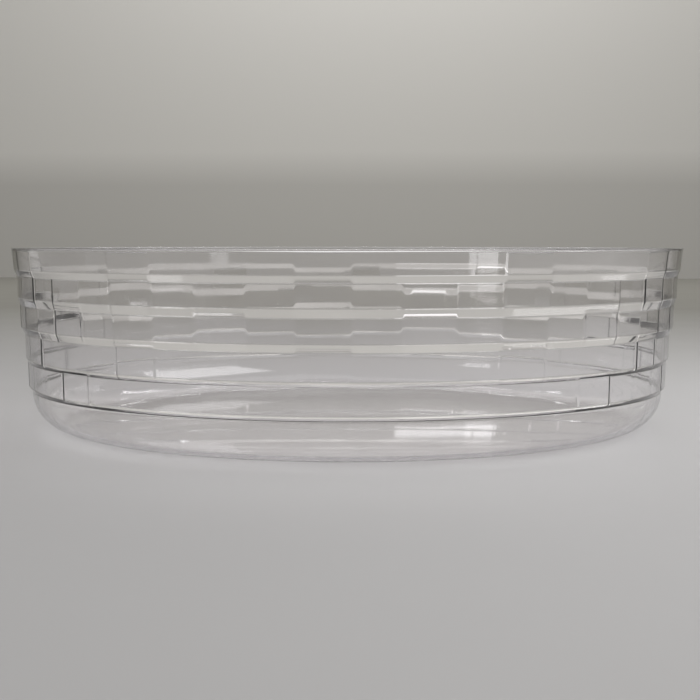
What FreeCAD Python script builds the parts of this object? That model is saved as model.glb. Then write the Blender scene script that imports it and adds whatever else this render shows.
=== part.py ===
"""Round clear liner that stands inside a woven basket and protects it.

One moulded piece: a plain rim band on top, four stepped courses below it that
repeat the basket's weave, and a round-cornered bowl with a flat floor.
The wall steps inwards below each course over a slanted ledge. In each course
twelve narrow panels stand proud, like the upright splints of the basket, and
the panels of one course stand midway between those of the next.

Frame: millimetres, +Z up, origin at the middle of the underside of the floor.
"""
import FreeCAD, Part
import math
import os
import Sketcher

NODE = "protector_shell"

# Driving dimensions, in millimetres and degrees. Courses and ledges count from the top.
SIZES = [
    ("rim_radius", 155.0, "outer radius at the top edge"),
    ("rim_band_height", 12.5, "top edge down to the lower line of ledge 1"),
    ("course_height", 12.85, "each of the four panelled courses"),
    ("bowl_height", 17.6, "underside up to the lower line of ledge 5"),
    ("corner_radius", 16.4, "outside round between the floor and the bowl's side"),
    ("rim_draft", 1.1, "how far the rim band draws in from its top to its bottom"),
    ("course_draft", 0.25, "how far each course draws in from its top to its bottom"),
    ("ledge_1_step", 1.15, "inward step from the rim band to course 1"),
    ("ledge_2_step", 1.2, "inward step from course 1 to course 2"),
    ("ledge_3_step", 1.5, "inward step from course 2 to course 3"),
    ("ledge_4_step", 1.1, "inward step from course 3 to course 4"),
    ("ledge_5_step", 1.5, "inward step from course 4 to the bowl"),
    ("ledge_1_rise", 2.8, "height of the slanted ledge under the rim band"),
    ("ledge_2_rise", 3.5, "height of the slanted ledge under course 1"),
    ("ledge_3_rise", 3.1, "height of the slanted ledge under course 2"),
    ("ledge_4_rise", 1.9, "height of the slanted ledge under course 3"),
    ("ledge_5_rise", 1.8, "height of the slanted ledge under course 4"),
    ("panels_per_course", 12, "narrow panels around each course"),
    ("panel_angle", 7.9, "angle that a narrow panel spans about the axis"),
    ("panel_relief", 0.8, "how far a narrow panel stands proud of its course"),
    ("wall", 1.8, "wall and floor thickness"),
    ("rim_wall", 2.8, "wall thickness at the top edge, where the rim band is thickest"),
    ("rim_edge_break", 0.6, "bevel on both edges of the rim's top face"),
]

COURSES = 4
FULL_TURN = 360
HALF_TURN = 180
ZERO = "0"
SAME_HEIGHT = 1e-4
# Each of the two bevels takes at most this share of the rim's wall.
RIM_BREAK_LIMIT = 0.4

# A sketch's own numbers for its two axes and for the two ends of an edge.
LEVEL_AXIS_INDEX = -1
UPRIGHT_AXIS_INDEX = -2
START_INDEX = 1
END_INDEX = 2


def make_sheet(doc):
    """Put every driving dimension in a cell with its own alias."""
    sheet = doc.addObject("Spreadsheet::Sheet", "sizes")
    for row, (name, value, meaning) in enumerate(SIZES, start=1):
        sheet.set(f"A{row}", name)
        sheet.set(f"B{row}", str(value))
        sheet.setAlias(f"B{row}", name)
        sheet.set(f"C{row}", meaning)
    doc.recompute()
    return sheet


def cell(name):
    return f"<<sizes>>.{name}"


def ledge_height(ledge):
    """Height of the lower line of a ledge: ledge 1 is under the rim band, 5 on the bowl."""
    courses_below = COURSES + 1 - ledge
    return f"({cell('bowl_height')} + {courses_below} * {cell('course_height')})"


def top_height():
    return f"({ledge_height(1)} + {cell('rim_band_height')})"


def course_top_radius(course):
    """Outer radius at the top of a course: course 0 is the rim band, 5 the bowl."""
    if course == 0:
        return cell("rim_radius")
    return f"({course_foot_radius(course - 1)} - {cell(f'ledge_{course}_step')})"


def course_foot_radius(course):
    """Outer radius at the foot of a course, where its ledge begins."""
    draft = cell("rim_draft") if course == 0 else cell("course_draft")
    return f"({course_top_radius(course)} - {draft})"


def bowl_radius():
    return course_top_radius(COURSES + 1)


def flat_radius():
    """Radius of the flat floor, where the corner's round begins."""
    return f"({bowl_radius()} - {cell('corner_radius')})"


def attach(body, sketch, turn):
    """Lay a sketch on the body's own XZ plane, turned about the upright axis."""
    plane = next(f for f in body.Origin.OriginFeatures if f.Role == "XZ_Plane")
    sketch.AttachmentSupport = [(plane, "")]
    sketch.MapMode = "FlatFace"
    if turn != ZERO:
        degrees = number(sketch.Document.getObject("sizes"), turn)
        rotation = FreeCAD.Rotation(FreeCAD.Vector(0, 1, 0), degrees)
        sketch.AttachmentOffset = FreeCAD.Placement(FreeCAD.Vector(0, 0, 0), rotation)
        sketch.setExpression("AttachmentOffset.Rotation.Angle", turn)


def number(sheet, expression):
    return float(sheet.evalExpression(expression))


def hold_point(sketch, edge, radius, height):
    """Tie the start of a sketch edge to a radius and a height, both expressions."""
    sheet = sketch.Document.getObject("sizes")
    places = (("DistanceX", UPRIGHT_AXIS_INDEX, radius), ("DistanceY", LEVEL_AXIS_INDEX, height))
    for kind, axis, text in places:
        if text == ZERO:
            on_axis = Sketcher.Constraint("PointOnObject", edge, START_INDEX, axis)
            sketch.addConstraint(on_axis)
            continue
        value = number(sheet, text)
        held = Sketcher.Constraint(kind, LEVEL_AXIS_INDEX, START_INDEX, edge, START_INDEX, value)
        index = sketch.addConstraint(held)
        name = f"corner_{edge}_{kind}"
        sketch.renameConstraint(index, name)
        sketch.setExpression(f"Constraints.{name}", text)


def closed_profile(body, name, corners, turn=ZERO, round_after=None):
    """Sketch a closed outline through the corners, given as pairs of expressions.

    The stretch that leaves the corner numbered round_after is a quarter round,
    tangent to the floor where it starts and upright where it ends.
    """
    sketch = body.newObject("Sketcher::SketchObject", name)
    attach(body, sketch, turn)
    sheet = body.Document.getObject("sizes")
    points = [FreeCAD.Vector(number(sheet, r), number(sheet, z), 0) for r, z in corners]
    for i, start in enumerate(points):
        stop = points[(i + 1) % len(points)]
        if i == round_after:
            centre = FreeCAD.Vector(start.x, stop.y, 0)
            circle = Part.Circle(centre, FreeCAD.Vector(0, 0, 1), stop.y - start.y)
            sketch.addGeometry(Part.ArcOfCircle(circle, -math.pi / 2, 0))
            joined = Sketcher.Constraint("Tangent", i - 1, END_INDEX, i, START_INDEX)
            sketch.addConstraint(joined)
        else:
            sketch.addGeometry(Part.LineSegment(start, stop))
            if i > 0:
                joined = Sketcher.Constraint("Coincident", i - 1, END_INDEX, i, START_INDEX)
                sketch.addConstraint(joined)
    closing = Sketcher.Constraint("Coincident", len(points) - 1, END_INDEX, 0, START_INDEX)
    sketch.addConstraint(closing)
    for i, (radius, height) in enumerate(corners):
        hold_point(sketch, i, radius, height)
    body.Document.recompute()
    return sketch


def revolved(body, kind, sketch, name, angle=None):
    """Revolve a sketch about the upright axis, all round or over a small angle."""
    feature = body.newObject(f"PartDesign::{kind}", name)
    feature.Profile = sketch
    feature.ReferenceAxis = (sketch, ["V_Axis"])
    feature.Angle = FULL_TURN
    if angle:
        feature.Midplane = True
        feature.setExpression("Angle", angle)
    body.Document.recompute()
    return feature


def repeat_around(body, feature, name):
    """Repeat one panel feature around the course."""
    pattern = body.newObject("PartDesign::PolarPattern", name)
    pattern.Originals = [feature]
    pattern.Axis = (feature.Profile[0], ["V_Axis"])
    pattern.Angle = FULL_TURN
    pattern.setExpression("Occurrences", cell("panels_per_course"))
    body.Tip = pattern
    body.Document.recompute()
    return pattern


def stepped_corners(inset, rim_inset):
    """Corners of the stepped side from the bowl's top to the rim, moved inwards by an inset."""
    corners = []
    for ledge in range(COURSES + 1, 0, -1):
        foot_height = f"({ledge_height(ledge)} + {cell(f'ledge_{ledge}_rise')})"
        corners.append((f"{course_top_radius(ledge)} - {inset}", ledge_height(ledge)))
        corners.append((f"{course_foot_radius(ledge - 1)} - {inset}", foot_height))
    corners.append((f"{course_top_radius(0)} - {rim_inset}", top_height()))
    return corners


def outer_form(body):
    """The liner's outer form, still solid."""
    corners = [(ZERO, ZERO), (flat_radius(), ZERO), (bowl_radius(), cell("corner_radius"))]
    corners += stepped_corners(ZERO, ZERO)
    corners.append((ZERO, top_height()))
    sketch = closed_profile(body, "outer_profile", corners, round_after=1)
    return revolved(body, "Revolution", sketch, "outer_form")


def hollow(body):
    """Cut the inside, which follows the outer form a wall's thickness in."""
    wall = cell("wall")
    corners = [(ZERO, wall), (flat_radius(), wall)]
    corners.append((f"{bowl_radius()} - {wall}", cell("corner_radius")))
    corners += stepped_corners(wall, cell("rim_wall"))
    corners.append((ZERO, top_height()))
    sketch = closed_profile(body, "inner_profile", corners, round_after=1)
    return revolved(body, "Groove", sketch, "hollow")


def panel_corners(course, inset):
    """Section of a proud panel, from the lower line of one ledge up past the next one.

    Its upper end runs out in the ledge above it, and its foot slants back to
    the same line as the ledge below it.
    """
    below = course + 1
    proud = f"{cell('panel_relief')} - {inset}"
    foot = f"{ledge_height(below)} + {cell(f'ledge_{below}_rise')}"
    top = f"{ledge_height(course)} + {cell(f'ledge_{course}_rise')}"
    back = f"{course_top_radius(below)} - 2 * {cell('wall')}"
    return [
        (back, ledge_height(below)),
        (f"{course_top_radius(below)} - {inset}", ledge_height(below)),
        (f"{course_foot_radius(course)} + {proud}", foot),
        (f"{course_top_radius(course)} + {proud}", top),
        (back, top),
    ]


def panels(body, kind, inset, purpose):
    """Raise the narrow panels outside, or sink their backs into the wall inside."""
    half_pitch = f"{HALF_TURN} / {cell('panels_per_course')}"
    for course in range(1, COURSES + 1):
        turn = half_pitch if course % 2 == 0 else ZERO
        name = f"course_{course}_panel_{purpose}"
        sketch = closed_profile(body, f"{name}_profile", panel_corners(course, inset), turn)
        panel = revolved(body, kind, sketch, name, cell("panel_angle"))
        repeat_around(body, panel, f"{name}s")


def require(condition, message):
    if not condition:
        raise RuntimeError(message)


def break_rim_edges(body):
    """Bevel both edges of the rim's top face."""
    height = number(body.Document.getObject("sizes"), top_height())
    base = body.Tip
    names = []
    for i, edge in enumerate(base.Shape.Edges, start=1):
        box = edge.BoundBox
        if abs(box.ZMin - height) < SAME_HEIGHT and abs(box.ZMax - height) < SAME_HEIGHT:
            names.append(f"Edge{i}")
    bevelled = body.newObject("PartDesign::Chamfer", "rim_edges")
    bevelled.Base = (base, names)
    limit = f"{RIM_BREAK_LIMIT} * {cell('rim_wall')}"
    bevelled.setExpression("Size", f"min({cell('rim_edge_break')}; {limit})")
    body.Tip = bevelled
    body.Document.recompute()
    return bevelled


def check(doc):
    """Stop before anything is written if a feature failed or the body isn't one solid."""
    for obj in doc.Objects:
        failed = "Invalid" in obj.State or "Error" in obj.State
        require(not failed, f"{obj.Name} failed: {obj.State}")
        if obj.isDerivedFrom("Sketcher::SketchObject"):
            require(obj.FullyConstrained, f"{obj.Name} isn't fully constrained")
    shape = doc.getObject(NODE).Shape
    require(not shape.isNull() and shape.isValid(), f"{NODE} isn't valid")
    require(len(shape.Solids) == 1, f"{NODE} isn't one solid")


def protector_shell(doc):
    """The whole liner, one moulded piece."""
    body = doc.addObject("PartDesign::Body", NODE)
    body.Label = NODE
    body.Placement = FreeCAD.Placement(FreeCAD.Vector(0, 0, 0), FreeCAD.Rotation())
    outer_form(body)
    blank = body.Shape.Volume
    panels(body, "Revolution", ZERO, "front")
    with_fronts = body.Shape.Volume
    require(with_fronts > blank, "the panels add nothing outside")
    hollow(body)
    hollowed = body.Shape.Volume
    require(hollowed < with_fronts, "the hollow cuts nothing")
    panels(body, "Groove", cell("wall"), "back")
    require(body.Shape.Volume < hollowed, "the panel backs cut nothing")
    break_rim_edges(body)
    return body


def main():
    doc = FreeCAD.newDocument("basket_protector")
    make_sheet(doc)
    body = protector_shell(doc)
    doc.recompute()
    check(doc)
    os.makedirs("parts", exist_ok=True)
    body.Shape.exportStep(f"parts/{body.Label}.step")
    print(f"{body.Label}: {body.Shape.Volume:.0f} cubic millimetres, {len(body.Shape.Faces)} faces")


main()
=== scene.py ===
"""Clear basket protector: one moulded shell of crystal polystyrene on a pale table.

The scene is in metres, +Z up, with its origin at the middle of the underside of the floor,
as in the CAD model. The sizes below are in millimetres and degrees.
"""
import math

import bmesh
import bpy
from mathutils import Euler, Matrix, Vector


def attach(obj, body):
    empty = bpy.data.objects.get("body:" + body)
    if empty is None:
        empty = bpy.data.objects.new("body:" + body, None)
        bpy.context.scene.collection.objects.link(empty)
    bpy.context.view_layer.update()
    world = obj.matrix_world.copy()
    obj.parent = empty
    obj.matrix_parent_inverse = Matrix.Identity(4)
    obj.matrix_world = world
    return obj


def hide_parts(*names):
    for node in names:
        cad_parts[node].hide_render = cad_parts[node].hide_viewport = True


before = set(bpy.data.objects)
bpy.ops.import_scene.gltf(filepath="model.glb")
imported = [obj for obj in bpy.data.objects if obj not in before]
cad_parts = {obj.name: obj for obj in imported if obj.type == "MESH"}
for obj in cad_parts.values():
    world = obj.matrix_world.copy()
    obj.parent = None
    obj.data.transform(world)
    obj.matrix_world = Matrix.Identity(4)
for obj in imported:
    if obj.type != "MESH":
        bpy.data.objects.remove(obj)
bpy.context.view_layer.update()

MM = 0.001

# The shell's sizes, as in the CAD model. Courses and ledges count from the top.
RIM_RADIUS = 155.0
RIM_BAND_HEIGHT = 12.5
COURSE_HEIGHT = 12.85
BOWL_HEIGHT = 17.6
CORNER_REACH = 16.4
CORNER_HEIGHT = 16.4
RIM_DRAFT = 1.1
COURSE_DRAFT = 0.25
LEDGE_STEPS = (1.15, 1.2, 1.5, 1.1, 1.5)
LEDGE_RISES = (2.8, 3.5, 3.1, 1.9, 1.8)
COURSES = 4
PANELS_PER_COURSE = 12
PANEL_ANGLE = 7.9
WALL = 1.8
RIM_WALL = 2.8

# Where the shell differs from the CAD model, so that light bends in it as on the object. The
# panels stand out by a quarter as much. The inside of the upper ledges is a short square
# step, and that of the two lower ones slants over a little less height than the outside. The
# rim is thick only at its very top, as a bead.
PANEL_RELIEF = 0.2
INNER_LEDGE_RISES = (0.08, 0.08, 0.08, 1.3, 1.4)
RIM_BEAD_HEIGHT = 1.0

# Rounds of the ledges' outer corners and of the rim, and the steps of the bowl's corner.
LEDGE_ROUND = 0.25
RIM_ROUND = 0.45
CORNER_STEPS = 12
# How far from a corner a guide point stands, which keeps the shading's bend close to it.
GUIDE_DISTANCE = 0.4

# One repeat of the pattern has close columns at the sides of its panels, each with its share
# of the relief, and columns about PLAIN_STEP apart between them.
PITCH = 360 / PANELS_PER_COURSE
SIDE_ANGLE = 0.75
SIDE_STEPS = 8
SIDE_SHARES = (0.015, 0.1, 0.27, 0.5, 0.73, 0.9, 0.985)
PLAIN_STEP = 1.7

# Faces that meet at more than this stay crisp: the inner ledges, and not the rounds.
CRISP_ANGLE = 31
# The floor touches the table at a few points only, so a film of air lies under it.
TABLE_GAP = 0.15
# Points nearer than this, in metres, are the same.
SAME_PLACE = 1e-5


def wall_corners():
    """Corners of the stepped outside from the bowl's top to the rim, as (radius, height)."""
    corners = []
    radius = RIM_RADIUS
    height = BOWL_HEIGHT + COURSES * COURSE_HEIGHT
    corners.append((radius, height + RIM_BAND_HEIGHT))
    radius -= RIM_DRAFT
    for step, rise in zip(LEDGE_STEPS, LEDGE_RISES):
        corners.append((radius, height + rise))
        radius -= step
        corners.append((radius, height))
        radius -= COURSE_DRAFT
        height -= COURSE_HEIGHT
    return corners[::-1]


def inner_corners(side):
    """Corners of the inside: each course runs on down to the top of its ledge's inner side."""
    corners = []
    ledges = zip(INNER_LEDGE_RISES[::-1], side[0::2], side[1::2], side[2::2])
    for rise, (foot_radius, foot), (top_radius, top), (next_radius, next_foot) in ledges:
        slope = (next_radius - top_radius) / (next_foot - top)
        step_top = foot + rise
        corners.append((foot_radius - WALL, foot))
        corners.append((top_radius - slope * (top - step_top) - WALL, step_top))
    return corners


def with_guides(points):
    """The same line with a guide point near both ends of each edge that is long enough."""
    line = [points[0]]
    for start, stop in zip(points, points[1:]):
        length = math.dist(start, stop)
        for along in (GUIDE_DISTANCE, length - GUIDE_DISTANCE):
            if length > 4 * GUIDE_DISTANCE:
                line.append(tuple(a + (b - a) * along / length for a, b in zip(start, stop)))
        line.append(stop)
    return line


def outline():
    """The wall's section: outside from the axis to the rim, then inside back to the axis."""
    side = wall_corners()
    bowl = side[0][0]
    flat = bowl - CORNER_REACH
    quarter = [math.pi / 2 * i / CORNER_STEPS for i in range(1, CORNER_STEPS + 1)]
    outside = [(0, 0), (flat - 2 * GUIDE_DISTANCE, 0), (flat, 0)]
    outside += [(flat + CORNER_REACH * math.sin(a), CORNER_HEIGHT * (1 - math.cos(a))) for a in quarter]
    outside += with_guides(side)
    inside = [(0, WALL), (flat - 2 * GUIDE_DISTANCE, WALL), (flat, WALL)]
    reach = CORNER_REACH - WALL
    height = CORNER_HEIGHT - WALL
    inside += [(flat + reach * math.sin(a), WALL + height * (1 - math.cos(a))) for a in quarter]
    inside += inner_corners(side)
    rim_radius, top = side[-1]
    slope = RIM_DRAFT / (top - side[-2][1])
    inside.append((rim_radius - RIM_BEAD_HEIGHT * slope - WALL, top - RIM_BEAD_HEIGHT))
    inside.append((rim_radius - RIM_WALL, top - RIM_BEAD_HEIGHT / 2))
    inside.append((rim_radius - RIM_WALL, top))
    return outside + inside[::-1]


def select_vertices(piece, wanted):
    """Select the vertices whose place satisfies wanted, and nothing else."""
    mesh = bmesh.from_edit_mesh(piece.data)
    for vertex in mesh.verts:
        vertex.select = bool(wanted(vertex.co))
    mesh.select_flush(True)
    mesh.select_flush(False)
    bmesh.update_edit_mesh(piece.data)


def draw_section(name):
    """Draw the wall's section as a line of edges in the XZ plane, corner after corner."""
    corners = outline()
    bpy.ops.object.select_all(action="DESELECT")
    bpy.ops.mesh.primitive_plane_add(size=MM)
    piece = bpy.context.object
    piece.name = name
    piece.data.name = name
    bpy.ops.object.mode_set(mode="EDIT")
    bpy.ops.mesh.select_mode(type="VERT")
    bpy.ops.mesh.merge(type="CENTER")
    for start, stop in zip(corners, corners[1:]):
        step = ((stop[0] - start[0]) * MM, 0, (stop[1] - start[1]) * MM)
        bpy.ops.mesh.extrude_vertices_move(TRANSFORM_OT_translate={"value": step})
    return piece


def soften_section(piece):
    """Round the ledges' outer corners and the rim's edges."""
    top = max(z for radius, z in outline()) * MM
    ledges = [Vector((radius * MM, 0, z * MM)) for radius, z in wall_corners()[:-1]]
    select_vertices(piece, lambda co: co.z > top - SAME_PLACE)
    bpy.ops.mesh.bevel(offset=RIM_ROUND * MM, segments=3, affect="VERTICES")
    select_vertices(piece, lambda co: any((co - corner).length < SAME_PLACE for corner in ledges))
    bpy.ops.mesh.bevel(offset=LEDGE_ROUND * MM, segments=2, affect="VERTICES")


def spin_one_repeat(piece):
    """Turn the section through one repeat of the pattern, with close columns at panel sides."""
    half = PANEL_ANGLE / 2
    between = PITCH / 2 - PANEL_ANGLE
    plain = [half - SIDE_ANGLE / 2, between - SIDE_ANGLE, PANEL_ANGLE - SIDE_ANGLE]
    plain += [between - SIDE_ANGLE, half - SIDE_ANGLE / 2]
    bpy.ops.mesh.select_all(action="SELECT")
    for i, angle in enumerate(plain):
        turn(angle, max(1, round(angle / PLAIN_STEP)))
        if i + 1 < len(plain):
            turn(SIDE_ANGLE, SIDE_STEPS)


def turn(angle, steps, copies=False):
    """Spin what is selected about the upright axis."""
    bpy.ops.mesh.spin(
        steps=steps, angle=math.radians(angle), center=(0, 0, 0), axis=(0, 0, 1), dupli=copies,
    )


def side_radius(z):
    """Plain outer radius of the stepped side at a height, in millimetres."""
    corners = wall_corners()
    for (r0, z0), (r1, z1) in zip(corners, corners[1:]):
        if z0 <= z <= z1:
            return r0 + (r1 - r0) * (z - z0) / (z1 - z0)
    return corners[-1][0]


def panel_lift(course, z):
    """How far a panel of a course stands out at a height, in millimetres."""
    line_below = BOWL_HEIGHT + (COURSES - course) * COURSE_HEIGHT
    foot = line_below + LEDGE_RISES[course]
    line_above = line_below + COURSE_HEIGHT
    top = line_above + LEDGE_RISES[course - 1]
    if not line_below < z < top:
        return 0
    if z < foot:
        return PANEL_RELIEF * (z - line_below) / (foot - line_below)
    if z <= line_above:
        return PANEL_RELIEF
    return max(0, side_radius(line_above) + PANEL_RELIEF - side_radius(z))


def panel_share(course, angle):
    """1 on a panel, 0 beside it, and the shares between on its sides."""
    centre = 0 if course % 2 else PITCH / 2
    off = abs((angle - centre + PITCH / 2) % PITCH - PITCH / 2)
    across = (PANEL_ANGLE / 2 + SIDE_ANGLE / 2 - off) / SIDE_ANGLE * SIDE_STEPS
    step = round(min(max(across, 0), SIDE_STEPS))
    return (0, *SIDE_SHARES, 1)[step]


def raise_panels(piece):
    """Scale the panels' rows outwards about the axis, and their backs with them.

    A row's scale is worked out for a radius near the rim's, so the lowest panels stand out
    by a few hundredths of a millimetre less than the highest.
    """
    radius = RIM_RADIUS - PANEL_RELIEF * COURSES
    mesh = bmesh.from_edit_mesh(piece.data)
    rows = {}
    for vertex in mesh.verts:
        z = vertex.co.z / MM
        if z < BOWL_HEIGHT:
            continue
        angle = math.degrees(math.atan2(vertex.co.y, vertex.co.x))
        lift = sum(panel_lift(c, z) * panel_share(c, angle) for c in range(1, COURSES + 1))
        if lift > 0:
            rows.setdefault(round(lift, 3), []).append(vertex.index)
    bpy.ops.mesh.select_all(action="DESELECT")
    for lift, indices in rows.items():
        mesh = bmesh.from_edit_mesh(piece.data)
        mesh.verts.ensure_lookup_table()
        for i in indices:
            mesh.verts[i].select = True
        bmesh.update_edit_mesh(piece.data)
        grown = 1 + lift / radius
        bpy.ops.transform.resize(value=(grown, grown, 1), center_override=(0, 0, 0))
        mesh = bmesh.from_edit_mesh(piece.data)
        mesh.verts.ensure_lookup_table()
        for i in indices:
            mesh.verts[i].select = False
        bmesh.update_edit_mesh(piece.data)


def make_shell():
    """The whole liner, one moulded piece: a section, its repeat, and all the repeats."""
    piece = draw_section("clear_shell")
    soften_section(piece)
    spin_one_repeat(piece)
    raise_panels(piece)
    bpy.ops.mesh.select_all(action="SELECT")
    turn(360 - PITCH, PANELS_PER_COURSE - 1, copies=True)
    bpy.ops.mesh.select_all(action="SELECT")
    bpy.ops.mesh.remove_doubles(threshold=SAME_PLACE)
    bpy.ops.mesh.normals_make_consistent(inside=False)
    bpy.ops.object.mode_set(mode="OBJECT")
    bpy.ops.object.shade_smooth_by_angle(angle=math.radians(CRISP_ANGLE))
    return piece


def linear(hex_colour):
    """Linear RGBA of an sRGB hex colour."""
    parts = [int(hex_colour[i:i + 2], 16) / 255 for i in (1, 3, 5)]
    return [c / 12.92 if c <= 0.04045 else ((c + 0.055) / 1.055) ** 2.4 for c in parts] + [1]


def node(tree, kind, links=(), **settings):
    """Add a node, set its sockets and properties, and link (output, input) pairs to it."""
    made = tree.nodes.new(kind)
    for name, value in settings.items():
        socket = made.inputs.get(name.replace("_", " "))
        if socket is None:
            setattr(made, name, value)
        else:
            socket.default_value = value
    for source, target in links:
        tree.links.new(source, made.inputs[target])
    return made


def clear_polystyrene():
    """Crystal polystyrene, injection moulded in a polished tool.

    To the eye: clear and hard like glass but lighter, almost without colour, with sharp
    reflections that waver a little over the walls because the plastic sinks as it cools,
    and a fine haze of handling scratches.
    """
    material = bpy.data.materials.new("clear_polystyrene_moulded")
    material.use_nodes = True
    tree = material.node_tree
    tree.nodes.clear()
    place = node(tree, "ShaderNodeTexCoord").outputs["Object"]
    # Sink and flow ripples about 22 mm across, and a fine orange peel of about 1.5 mm.
    ripple = node(
        tree, "ShaderNodeTexNoise", [(place, "Vector")],
        Scale=1 / 0.022, Detail=1.0, Roughness=0.4,
    )
    peel = node(
        tree, "ShaderNodeTexNoise", [(place, "Vector")],
        Scale=1 / 0.0015, Detail=2.0, Roughness=0.5,
    )
    rippled = node(
        tree, "ShaderNodeBump", [(ripple.outputs["Fac"], "Height")],
        Strength=0.03, Distance=0.00015,
    )
    surface = node(
        tree, "ShaderNodeBump", [(peel.outputs["Fac"], "Height"), (rippled.outputs["Normal"], "Normal")],
        Strength=0.04, Distance=0.000008,
    )
    # Handling haze in patches of about 30 mm, a little rougher than the polished plastic.
    haze = node(
        tree, "ShaderNodeTexNoise", [(place, "Vector")],
        Scale=1 / 0.030, Detail=4.0, Roughness=0.65,
    )
    gloss = node(
        tree, "ShaderNodeMapRange", [(haze.outputs["Fac"], "Value")],
        From_Min=0.35, From_Max=0.7, To_Min=0.015, To_Max=0.06,
    )
    plastic = node(
        tree, "ShaderNodeBsdfPrincipled",
        [(gloss.outputs["Result"], "Roughness"), (surface.outputs["Normal"], "Normal")],
        Base_Color=linear("#FEFDFE"), IOR=1.56,
    )
    plastic.inputs["Transmission Weight"].default_value = 1.0
    # Light passes straight through to the table, so that the shadow is pale as on the object.
    path = node(tree, "ShaderNodeLightPath")
    let_through = node(tree, "ShaderNodeBsdfTransparent", Color=linear("#F9F8F8"))
    mixed = node(
        tree, "ShaderNodeMixShader",
        [(path.outputs["Is Shadow Ray"], 0), (plastic.outputs[0], 1), (let_through.outputs[0], 2)],
    )
    node(tree, "ShaderNodeOutputMaterial", [(mixed.outputs[0], "Surface")])
    return material


def matt_board(name, colour, roughness, painted_shading_fade=None):
    """Matt painted board for the stage, with a faint mottle of 60 mm.

    The optional last argument, (colour, start, end), is painted light and shade: the board turns to that
    colour along its own Y.
    """
    material = bpy.data.materials.new(name)
    material.use_nodes = True
    tree = material.node_tree
    tree.nodes.clear()
    place = node(tree, "ShaderNodeTexCoord").outputs["Object"]
    mottle = node(
        tree, "ShaderNodeTexNoise", [(place, "Vector")], Scale=1 / 0.06, Detail=3.0,
    )
    rough = node(
        tree, "ShaderNodeMapRange", [(mottle.outputs["Fac"], "Value")],
        To_Min=roughness - 0.05, To_Max=roughness + 0.05,
    )
    board = node(
        tree, "ShaderNodeBsdfPrincipled", [(rough.outputs["Result"], "Roughness")],
        Base_Color=linear(colour),
    )
    # Painted light and shade: the base colour turns to another along the board's Y, in place of the fall
    # of the lamps' light.
    if painted_shading_fade:
        axes = node(tree, "ShaderNodeSeparateXYZ", [(place, "Vector")])
        along = node(
            tree, "ShaderNodeMapRange", [(axes.outputs["Y"], "Value")],
            From_Min=painted_shading_fade[1], From_Max=painted_shading_fade[2],
        )
        blend = node(tree, "ShaderNodeMix", [(along.outputs["Result"], 0)], data_type="RGBA")
        blend.inputs[6].default_value = linear(colour)
        blend.inputs[7].default_value = linear(painted_shading_fade[0])
        tree.links.new(blend.outputs[2], board.inputs["Base Color"])
    node(tree, "ShaderNodeOutputMaterial", [(board.outputs[0], "Surface")])
    return material


def make_stage():
    """A pale table with painted shade that darkens it behind the shell, and an upright backdrop with
    painted light that makes it lighter high up.
    """
    bpy.ops.object.select_all(action="DESELECT")
    bpy.ops.mesh.primitive_plane_add(size=6, location=(0, 0, -TABLE_GAP * MM))
    table = bpy.context.object
    table.name = "table"
    # Painted shade: the table's colour darkens from just behind the shell to 1.1 m back, in place of the
    # light falling off.
    table.data.materials.append(matt_board("table_board_painted_shade", "#BBBABB", 0.6, ("#88867F", 0.15, 1.1)))
    bpy.ops.object.select_all(action="DESELECT")
    bpy.ops.mesh.primitive_plane_add(size=8, location=(0, 2.6, 2), rotation=(math.radians(90), 0, 0))
    backdrop = bpy.context.object
    backdrop.name = "backdrop"
    # Painted light: the backdrop's colour turns lighter from 0.22 m to 0.30 m above the table, as if lit
    # from above.
    backdrop.data.materials.append(
        matt_board("backdrop_board_painted_light", "#BCBAB6", 0.8, ("#D2D0CC", -1.78, -1.70))
    )


def soft_lamp(name, place, aim, width, height, power):
    """A rectangular soft lamp that faces a point. The camera doesn't see it straight on."""
    lamp = bpy.data.lights.new(name, "AREA")
    lamp.shape = "RECTANGLE"
    lamp.size = width
    lamp.size_y = height
    lamp.energy = power
    made = bpy.data.objects.new(name, lamp)
    bpy.context.scene.collection.objects.link(made)
    made.location = place
    made.rotation_euler = (Vector(aim) - Vector(place)).to_track_quat("-Z", "Y").to_euler()
    made.visible_camera = False


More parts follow.
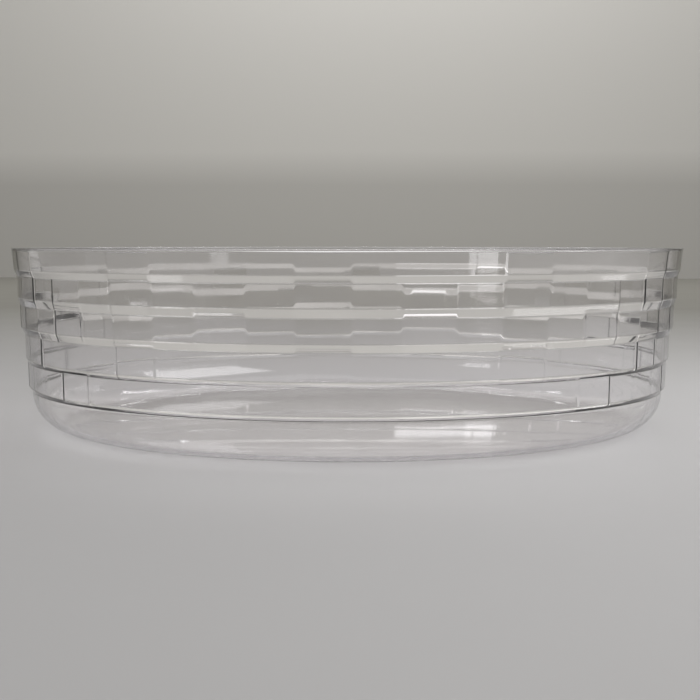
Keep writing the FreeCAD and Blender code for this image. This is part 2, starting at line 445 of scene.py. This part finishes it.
def make_light():
    """Even studio light, brighter from the right, and two window-like lamps for highlights."""
    world = bpy.data.worlds.new("studio_air")
    world.use_nodes = True
    tree = world.node_tree
    tree.nodes["Background"].inputs["Color"].default_value = linear("#E4E3E0")
    tree.nodes["Background"].inputs["Strength"].default_value = 0.65
    bpy.context.scene.world = world
    # Name, place, the point it faces, width, height, power in watts.
    soft_lamp("overhead", (0.2, 0.3, 1.9), (0, 0, 0), 1.6, 1.0, 3.2)
    soft_lamp("side_lamp", (0.62, -0.1, 0.47), (0.1, 0, 0.04), 0.7, 0.5, 3.2)
    soft_lamp("backdrop_lamp", (0, 1.9, 1.7), (0, 2.6, 0.3), 1.2, 0.3, 15)
    soft_lamp("window", (-1.3, -0.9, 0.3), (0, 0, 0.04), 0.35, 0.4, 1.2)
    # Its mirror image is the bright patch low on the front of the bowl.
    soft_lamp("back_window", (0.059, 0.6, 0.105), (0.059, 0, 0.105), 0.097, 0.024, 0.006)


# The photograph's camera, fitted to the circles of the ledges: distance in rim radii, height
# in metres, turn, tilt and roll in degrees, and focal length and sideways shift in pixels of
# a picture 700 wide.
VIEW_DISTANCE = 4.17
VIEW_HEIGHT = 0.0838
VIEW_TURN = 3.32
VIEW_TILT = 4.51
VIEW_ROLL = -0.028
FOCAL_PIXELS = 1358
SHIFT_PIXELS = 2.8
PICTURE_PIXELS = 700
SENSOR = 36


def make_camera():
    """The photograph's view: from the front, just above the rim, looking a little down."""
    distance = VIEW_DISTANCE * RIM_RADIUS * MM
    part_turn = math.radians(VIEW_TURN)
    camera = bpy.data.objects.new("camera", bpy.data.cameras.new("camera"))
    bpy.context.scene.collection.objects.link(camera)
    camera.location = (
        distance * math.sin(part_turn), -distance * math.cos(part_turn), VIEW_HEIGHT,
    )
    camera.rotation_euler = Euler(
        (math.radians(90 - VIEW_TILT), math.radians(VIEW_ROLL), part_turn), "XYZ",
    )
    camera.data.sensor_width = SENSOR
    camera.data.lens = FOCAL_PIXELS / PICTURE_PIXELS * SENSOR
    camera.data.shift_x = SHIFT_PIXELS / PICTURE_PIXELS
    camera.data.clip_start = 0.01
    bpy.context.scene.camera = camera


shell = make_shell()
shell.data.materials.append(clear_polystyrene())
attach(shell, "root")
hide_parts("protector_shell")
make_stage()
make_light()
make_camera()
bpy.context.scene.view_settings.view_transform = "Standard"
